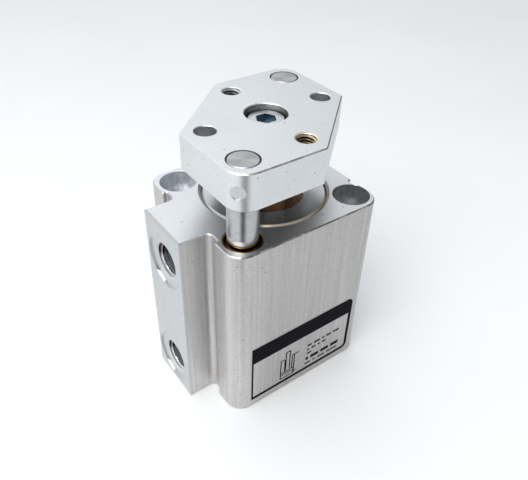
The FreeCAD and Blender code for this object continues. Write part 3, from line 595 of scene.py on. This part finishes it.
def dress_nodes(aluminium, bronze):
    """Gives every CAD node its finish."""
    dress(aluminium, "barrel", "rating_label")
    dress(plate_finish(), "tool_plate")
    dress(turned_cover_finish(), "front_cover", "rear_cover")
    for rod in GUIDE_RODS:
        dress(rod_finish(f"{rod}_steel"), rod)
    dress(bronze, "lower_guide_bush_left", "lower_guide_bush_right")
    for node in ("upper_guide_bush_left", "upper_guide_bush_right"):
        dress(bush_finish_with_painted_shade(node), node)
    dress(plain_metal("dark_bronze", (0.26, 0.13, 0.06), 0.26), "rod_bush")
    dress(plain_metal("chromed_rod", (0.75, 0.75, 0.76), 0.12, variation=0.03), "piston_rod")
    dress(screw_finish(), "plate_screw")
    dress(plain_metal("zinc_steel", (0.58, 0.63, 0.68), 0.25), "piston_nut")
    dress(plain_metal("pin_steel", (0.60, 0.61, 0.63), 0.32, variation=0.02), "guide_rod_pins")
    dress(plain_metal("spring_wire", (0.30, 0.30, 0.32), 0.35), "front_retaining_ring", "rear_retaining_ring")
    dress(plain_metal("piston_metal", (0.66, 0.66, 0.67), 0.3), "piston_front", "piston_rear")
    dress(matt_finish("magnet", (0.05, 0.05, 0.05), 0.5), "magnet_ring")
    dress(matt_finish("acetal", (0.45, 0.40, 0.28), 0.45), "piston_wear_ring")
    dress(matt_finish("nitrile_rubber", (0.02, 0.02, 0.02), 0.6), "rod_seal",
          "front_cover_o_ring", "rear_cover_o_ring", "front_bumper", "rear_bumper",
          "piston_seal_front", "piston_seal_rear")


def mesh_piece(name, vertices, faces, material, body):
    """A new mesh object that rides on a body."""
    mesh = bpy.data.meshes.new(name)
    mesh.from_pydata(vertices, [], faces)
    mesh.materials.append(material)
    mesh.validate()
    editable = bmesh.new()
    editable.from_mesh(mesh)
    bmesh.ops.recalc_face_normals(editable, faces=editable.faces)
    editable.to_mesh(mesh)
    editable.free()
    piece = bpy.data.objects.new(name, mesh)
    bpy.context.scene.collection.objects.link(piece)
    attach(piece, body)
    return piece


def thread_ridge(name, mouth, inward, thread, start, length, mouth_radius, material, body):
    """The helical ridge of an internal thread. mouth is on the hole's axis, inward points down the hole.

    Sizes are in millimetres. The hole's 45 degree chamfer, from mouth_radius, cuts the first turns back.
    """
    side = inward.orthogonal().normalized()
    other = inward.cross(side)
    pitch = thread["pitch"]
    root = thread["root"] + THREAD_EMBED
    crest = thread["crest"]
    profile = ((root, -ROOT_SHARE), (crest, -CREST_SHARE), (crest, CREST_SHARE), (root, ROOT_SHARE))
    count = int((length - pitch) / pitch * THREAD_STEPS)
    vertices = []
    for step in range(count + 1):
        angle = 2 * math.pi * step / THREAD_STEPS
        middle_depth = start + pitch / 2 + pitch * step / THREAD_STEPS
        outward = side * math.cos(angle) + other * math.sin(angle)
        for radius, share in profile:
            depth = middle_depth + share * pitch
            chamfer_radius = mouth_radius - depth + THREAD_EMBED
            vertices.append(mouth + (outward * max(radius, chamfer_radius) + inward * depth) * MM)
    faces = []
    for step in range(count):
        here = 4 * step
        for corner in range(4):
            following = (corner + 1) % 4
            faces.append((here + corner, here + following, here + 4 + following, here + 4 + corner))
    end = 4 * count
    faces.append((0, 1, 2, 3))
    faces.append((end + 3, end + 2, end + 1, end))
    return mesh_piece(name, vertices, faces, material, body)


def add_port_threads():
    """Thread ridges in both ports."""
    port_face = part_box("barrel")[0].x
    mouth_radius = PORT_THREAD["root"] + PORT_CHAMFER + PORT_FACE_DEPTH
    for port_name, port in PORTS.items():
        name = f"{port_name}_thread"
        mouth = Vector((port_face, port.y, port.z))
        thread_ridge(name, mouth, Vector((1, 0, 0)), PORT_THREAD, PORT_MOUTH_DEPTH,
                     PORT_BODY_DEPTH - PORT_MOUTH_DEPTH, mouth_radius, port_thread_finish(name, mouth),
                     "housing")


def add_plate_threads():
    """Thread ridges in the plate's two tapped holes."""
    clean = plain_metal("cut_thread", (0.50, 0.51, 0.52), 0.26, variation=0.05)
    brassy = plain_metal("stained_thread", (0.50, 0.40, 0.26), 0.20, variation=0.06)
    bottom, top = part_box("tool_plate")
    thickness = (top.z - bottom.z) / MM
    mouth_radius = PLATE_THREAD["root"] + PLATE_THREAD_CHAMFER
    for label, y, material in (("rear", PLATE_THREAD_REACH, clean), ("front", -PLATE_THREAD_REACH, brassy)):
        thread_ridge(f"plate_thread_{label}", Vector((0, y, top.z)), Vector((0, 0, -1)), PLATE_THREAD,
                     0.0, thickness, mouth_radius, material, "slider")


def ring_piece(name, centre, profile, material, body):
    """A turned ring about an upright axis; profile points are (radius, height) in metres."""
    count = len(profile)
    vertices = []
    for step in range(RING_STEPS):
        angle = 2 * math.pi * step / RING_STEPS
        for radius, height in profile:
            vertices.append((centre.x + radius * math.cos(angle),
                             centre.y + radius * math.sin(angle), height))
    faces = []
    for step in range(RING_STEPS):
        here = step * count
        there = (step + 1) % RING_STEPS * count
        for corner in range(count):
            following = (corner + 1) % count
            faces.append((here + corner, there + corner, there + following, here + following))
    return mesh_piece(name, vertices, faces, material, body)


def add_bush_lips(bronze):
    """The raised inner lip in the mouth of each upper guide bush."""
    inner, outer, cut = LIP_INNER * MM, LIP_OUTER * MM, LIP_CHAMFER * MM
    for side in ("left", "right"):
        node = f"upper_guide_bush_{side}"
        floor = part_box(node)[1].z - BUSH_RECESS_DEPTH * MM
        top = floor + LIP_HEIGHT * MM
        profile = ((inner, floor - cut), (outer, floor - cut), (outer, top - cut), (outer - cut, top),
                   (inner + cut, top), (inner, top - cut))
        ring_piece(f"guide_bush_lip_{side}", middle(node), profile, bronze, "housing")


def label_face():
    """Where the visible foil's face lies, a little behind the CAD foil's face."""
    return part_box("rating_label")[0].y + FOIL_INSET * MM


def flat_shape(name, outline, front, back, material):
    """A thin plate parallel to the label's face: outline points are (across, up) in metres."""
    count = len(outline)
    vertices = [(x, front, z) for x, z in outline] + [(x, back, z) for x, z in outline]
    faces = [tuple(range(count)), tuple(range(2 * count - 1, count - 1, -1))]
    faces += [(i, (i + 1) % count, count + (i + 1) % count, count + i) for i in range(count)]
    return mesh_piece(name, vertices, faces, material, "housing")


def print_shape(name, outline, ink):
    """A thin printed shape that stands on the foil and reaches a little into it."""
    face = label_face()
    return flat_shape(name, outline, face - PRINT_THICKNESS * MM, face + PRINT_EMBED * MM, ink)


def corner_arc(centre, radius, start, end, steps=8):
    """Points along an arc round a centre."""
    angles = [start + (end - start) * step / steps for step in range(steps + 1)]
    return [(centre[0] + radius * math.cos(a), centre[1] + radius * math.sin(a)) for a in angles]


def add_label(foil_material):
    """The foil, its black band and border, a generic drawing of a cylinder and rows of bars."""
    ink = matt_finish("label_ink", INK, 0.55, specular=0.02)
    low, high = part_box("rating_label")
    left, right, bottom, top = low.x, high.x, low.z, high.z
    radius = LABEL_CORNER * MM
    band_bottom = top - BAND_HEIGHT * MM
    upper = corner_arc((right - radius, top - radius), radius, math.pi / 2, 0.0)
    lower = corner_arc((right - radius, bottom + radius), radius, -math.pi / 2, 0.0)

    print_shape("label_band", [(left, band_bottom), (left, top)] + upper + [(right, band_bottom)], ink)

    inner_left = left + BORDER_LEFT * MM
    inner_right = right - BORDER_RIGHT * MM
    inner_bottom = bottom + BORDER_BOTTOM * MM
    inner_radius = radius - BORDER_RIGHT * MM
    inner_corner = (inner_right - inner_radius, inner_bottom + inner_radius)
    border = [(left, band_bottom), (left, bottom)] + lower
    border += [(right, band_bottom), (inner_right, band_bottom)]
    border += corner_arc(inner_corner, inner_radius, 0.0, -math.pi / 2)
    border += [(inner_left, inner_bottom), (inner_left, band_bottom)]
    print_shape("label_border", border, ink)

    face = label_face()
    foil_outline = [(left, bottom)] + lower + upper[::-1] + [(left, top)]
    foil = flat_shape("label_foil", foil_outline, face, face + FOIL_DEPTH * MM, foil_material)
    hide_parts("rating_label")

    add_pictogram(ink, left / MM, bottom / MM)
    add_print_rows(ink, left / MM, bottom / MM)


def bar(name, x0, z0, x1, z1, ink):
    """A printed bar between two corners, in millimetres."""
    corners = [(x0, z0), (x1, z0), (x1, z1), (x0, z1)]
    return print_shape(name, [(x * MM, z * MM) for x, z in corners], ink)


def add_pictogram(ink, left, bottom):
    """A cylinder body with its piston, rod and guide rods, drawn in thin lines."""
    x = left + PICTOGRAM_PLACE[0]
    z = bottom + PICTOGRAM_PLACE[1]
    w = LINE_WIDTH
    lines = [
        # the body, its two floor lines and its shoulders
        (0, 0, 5.4, w), (0, 1.5, 5.4, 1.5 + w), (0, 2.4, 5.4, 2.4 + w), (0, 0, w, 8.2),
        (5.4 - w, 0, 5.4, 8.6), (0, 8.2, 1.5, 8.2 + w), (4.2, 8.4, 5.4, 8.4 + w),
        # the left guide, the rod with its end, and the right guide
        (1.5, 2.4, 1.5 + w, 8.2), (1.8, 3.2, 1.8 + w, 10.9), (3.3, 3.2, 3.3 + w, 10.9),
        (1.8, 10.9, 3.3 + w, 10.9 + w), (4.2, 2.4, 4.2 + w, 8.4),
        # the two connections
        (5.4, 8.4, 6.9, 8.4 + w), (4.6, 0.6, 6.2, 0.6 + w),
    ]
    for number, (x0, z0, x1, z1) in enumerate(lines):
        bar(f"pictogram_line_{number:02d}", x + x0, z + z0, x + x1, z + z1, ink)


def add_print_rows(ink, left, bottom):
    """Rows of short plain bars in the label's right half."""
    for row, (height, thickness, start, widths) in enumerate(PRINT_ROWS):
        x = left + start
        z = bottom + height
        for number, width in enumerate(widths):
            bar(f"print_row_{row}_{number}", x, z, x + width, z + thickness, ink)
            x += width + PRINT_GAP


def plain_mesh(name, vertices, faces, material):
    """A mesh for the set."""
    mesh = bpy.data.meshes.new(name)
    mesh.from_pydata(vertices, [], faces)
    mesh.materials.append(material)
    item = bpy.data.objects.new(name, mesh)
    bpy.context.scene.collection.objects.link(item)
    return item


def add_floor():
    """A large pale matt floor."""
    finish = Finish("studio_floor", metallic=0.0, roughness=0.7)
    cloud = finish.noise((9, 9, 9), detail=3.0)
    finish.set_shader("Base Color", finish.shade(FLOOR_COLOUR, finish.ramp(cloud, 0.3, 0.7, 0.985, 1.01)))
    half = FLOOR_SIZE / 2
    corners = [(-half, -half, 0), (half, -half, 0), (half, half, 0), (-half, half, 0)]
    floor = plain_mesh("floor", corners, [(0, 1, 2, 3)], finish.material)


def add_painted_shade_card():
    """A dark card on the floor in front of the part that only shows in its reflections, as painted shade for
    the shadow of the camera and the person holding it.
    """
    finish = Finish("painted_shade_card", metallic=0.0, roughness=0.9)
    grain = finish.noise((300, 300, 300))
    finish.set_shader("Base Color", finish.shade(CARD_PAINTED_SHADE, finish.ramp(grain, 0.3, 0.7, 0.9, 1.1)))
    vertices = []
    for step in range(CARD_STEPS + 1):
        angle = CARD_FROM + (CARD_TO - CARD_FROM) * step / CARD_STEPS
        for distance in (CARD_NEAR, CARD_FAR):
            vertices.append((CARD_CENTRE[0] - distance * math.sin(angle),
                             CARD_CENTRE[1] - distance * math.cos(angle), CARD_LIFT))
    faces = [(2 * i, 2 * i + 1, 2 * i + 3, 2 * i + 2) for i in range(CARD_STEPS)]
    card = plain_mesh("painted_shade_card", vertices, faces, finish.material)
    card.visible_camera = False
    card.visible_shadow = False
    card.visible_diffuse = False


def sky_ramp(tree, source, low, high, start, end):
    """Smoothly maps a value from low..high to start..end in the sky's nodes."""
    node = tree.nodes.new("ShaderNodeMapRange")
    node.interpolation_type = "SMOOTHSTEP"
    tree.links.new(source, node.inputs["Value"])
    node.inputs["From Min"].default_value = low
    node.inputs["From Max"].default_value = high
    node.inputs["To Min"].default_value = start
    node.inputs["To Max"].default_value = end
    return node.outputs["Result"]


def sky_towards(tree, direction, vector):
    """How far a direction in the sky goes along a vector."""
    node = tree.nodes.new("ShaderNodeVectorMath")
    node.operation = "DOT_PRODUCT"
    tree.links.new(direction, node.inputs[0])
    node.inputs[1].default_value = vector
    return node.outputs["Value"]


def sky_math(tree, operation, first, second):
    """One math node in the sky; second is a socket or a plain value."""
    node = tree.nodes.new("ShaderNodeMath")
    node.operation = operation
    tree.links.new(first, node.inputs[0])
    if isinstance(second, float):
        node.inputs[1].default_value = second
    else:
        tree.links.new(second, node.inputs[1])
    return node.outputs["Value"]


def add_sky():
    """A pale sky, dim at the horizon, with a bright patch behind the part.

    The camera itself sees a plain pale backdrop in its place.
    """
    world = bpy.data.worlds.new("studio")
    bpy.context.scene.world = world
    world.use_nodes = True
    tree = world.node_tree
    direction = tree.nodes.new("ShaderNodeTexCoord").outputs["Generated"]
    climb = sky_towards(tree, direction, (0, 0, 1))
    brightness = sky_ramp(tree, climb, SKY_DIM_BELOW, SKY_FULL_ABOVE, SKY_HORIZON, SKY_ZENITH)
    brightness = sky_math(tree, "ADD", brightness, sky_towards(tree, direction, SKY_LEAN))
    glow = sky_ramp(tree, sky_towards(tree, direction, GLOW_TOWARDS), GLOW_EDGE, 1.0, 0.0, GLOW_STRENGTH)
    brightness = sky_math(tree, "ADD", brightness, glow)
    brightness = sky_math(tree, "MAXIMUM", brightness, SKY_LEAST)
    seen = tree.nodes.new("ShaderNodeLightPath").outputs["Is Camera Ray"]
    backdrop = tree.nodes.new("ShaderNodeMix")
    backdrop.data_type = "FLOAT"
    tree.links.new(seen, backdrop.inputs[0])
    tree.links.new(brightness, backdrop.inputs[2])
    backdrop.inputs[3].default_value = BACKDROP_BRIGHTNESS
    background = tree.nodes["Background"]
    background.inputs["Color"].default_value = SKY_COLOUR
    tree.links.new(backdrop.outputs[0], background.inputs["Strength"])


def add_key_light():
    """A large square softbox on the left."""
    light = bpy.data.lights.new("key_softbox", "AREA")
    light.shape = "SQUARE"
    light.size = KEY_SIZE
    light.energy = KEY_POWER
    light.color = KEY_COLOUR
    lamp = bpy.data.objects.new("key_softbox", light)
    lamp.location = KEY_PLACE
    lamp.rotation_euler = (Vector(KEY_PLACE) - Vector(KEY_AIM)).to_track_quat("Z", "Y").to_euler()
    bpy.context.scene.collection.objects.link(lamp)


def add_camera():
    """The photo's camera, turned and rolled about the pivot."""
    back = Vector((math.sin(CAMERA_AZIMUTH) * math.cos(CAMERA_ELEVATION),
                   -math.cos(CAMERA_AZIMUTH) * math.cos(CAMERA_ELEVATION), math.sin(CAMERA_ELEVATION)))
    level = Vector((math.cos(CAMERA_AZIMUTH), math.sin(CAMERA_AZIMUTH), 0))
    upright = back.cross(level)
    right = math.cos(CAMERA_ROLL) * level + math.sin(CAMERA_ROLL) * upright
    up = -math.sin(CAMERA_ROLL) * level + math.cos(CAMERA_ROLL) * upright
    lens = bpy.data.cameras.new("camera")
    lens.sensor_fit = "HORIZONTAL"
    lens.sensor_width = CAMERA_SENSOR
    lens.lens = CAMERA_LENS
    lens.clip_start = 0.01
    camera = bpy.data.objects.new("camera", lens)
    place = CAMERA_PIVOT + right * CAMERA_OFFSET_RIGHT + up * CAMERA_OFFSET_UP + back * CAMERA_DISTANCE
    camera.matrix_world = Matrix.Translation(place) @ Matrix((right, up, back)).transposed().to_4x4()
    bpy.context.scene.collection.objects.link(camera)
    bpy.context.scene.camera = camera


bpy.context.scene.view_settings.view_transform = "Standard"
aluminium = body_finish()
bronze = plain_metal("bronze", BRONZE, 0.20)
add_camera()
dress_nodes(aluminium, bronze)
add_bush_lips(bronze)
add_port_threads()
add_plate_threads()
add_label(aluminium)
add_floor()
add_sky()
add_painted_shade_card()
add_key_light()
